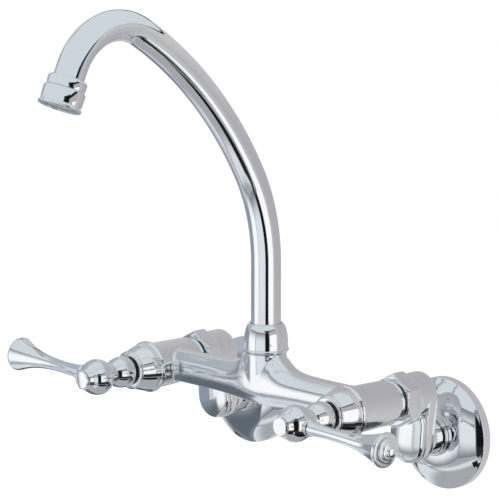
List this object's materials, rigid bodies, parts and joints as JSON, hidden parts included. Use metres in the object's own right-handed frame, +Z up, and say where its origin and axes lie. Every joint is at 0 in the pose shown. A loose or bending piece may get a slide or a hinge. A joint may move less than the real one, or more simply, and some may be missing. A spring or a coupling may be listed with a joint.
{
  "type": "two handle kitchen faucet",
  "caption": "Wall-mounted bridge faucet in polished chrome, with lever handles, a swivelling gooseneck spout, eccentric swing arms and round wall flanges.",
  "frame": {"origin": "on the wall plane, midway between the supply inlets", "axes": "+X to the right seen from the room, +Y into the wall, +Z up"},
  "size_m": [0.3888, 0.296, 0.3554],
  "materials": {
    "chrome": "polished",
    "brass": "machined",
    "steel": "plain stainless",
    "rubber": "matte black",
    "nylon": "black, slightly glossy",
    "plastic": "pale grey"
  },
  "bodies": {
    "body": {"faucet_body": "chrome", "spout_nut": "chrome", "spout_glide_washer": "nylon", "left_cartridge": "brass", "right_cartridge": "brass", "left_bonnet": "chrome", "right_bonnet": "chrome", "left_glide_ring": "nylon", "right_glide_ring": "nylon", "left_union_nut": "chrome", "right_union_nut": "chrome", "left_union_washer": "rubber", "right_union_washer": "rubber"},
    "spout": {"spout_tube": "chrome", "spout_shank": "brass", "spout_lower_seal": "rubber", "spout_upper_seal": "rubber", "outlet_collar": "chrome", "aerator_housing": "chrome", "outlet_washer": "rubber", "aerator_insert": "plastic"},
    "left_handle": {"left_lever": "chrome", "left_lever_tip": "chrome", "left_valve_stem": "brass", "left_handle_screw": "steel", "left_index_button": "chrome"},
    "left_arm": {"left_swing_arm": "chrome", "left_arm_plug": "chrome", "left_supply_coupling": "chrome"},
    "left_flange": {"left_wall_flange": "chrome", "left_neck_ring": "chrome"},
    "right_handle": {"right_lever": "chrome", "right_lever_tip": "chrome", "right_valve_stem": "brass", "right_handle_screw": "steel", "right_index_button": "chrome"},
    "right_arm": {"right_swing_arm": "chrome", "right_arm_plug": "chrome", "right_supply_coupling": "chrome"},
    "right_flange": {"right_wall_flange": "chrome", "right_neck_ring": "chrome"}
  },
  "joints": [
    {"name": "spout_swivel", "type": "hinge", "parent": "body", "child": "spout", "pos_m": [0, -0.087, 0.033], "axis": [0, 0, 1], "range_deg": [-90, 90]},
    {"name": "left_handle_turn", "type": "hinge", "parent": "body", "child": "left_handle", "pos_m": [-0.1016, -0.13, 0.033], "axis": [0, -1, 0], "range_deg": [0, 90]},
    {"name": "left_arm_swing", "type": "hinge", "parent": "body", "child": "left_arm", "pos_m": [-0.1016, -0.05, 0.033], "axis": [0, 1, 0], "range_deg": [-90, 90]},
    {"name": "left_flange_slide", "type": "slide", "parent": "left_arm", "child": "left_flange", "axis": [0, -1, 0], "range_m": [0, 0.012]},
    {"name": "right_handle_turn", "type": "hinge", "parent": "body", "child": "right_handle", "pos_m": [0.1016, -0.13, 0.033], "axis": [0, 1, 0], "range_deg": [0, 90]},
    {"name": "right_arm_swing", "type": "hinge", "parent": "body", "child": "right_arm", "pos_m": [0.1016, -0.05, 0.033], "axis": [0, 1, 0], "range_deg": [-90, 90]},
    {"name": "right_flange_slide", "type": "slide", "parent": "right_arm", "child": "right_flange", "axis": [0, -1, 0], "range_m": [0, 0.012]}
  ]
}
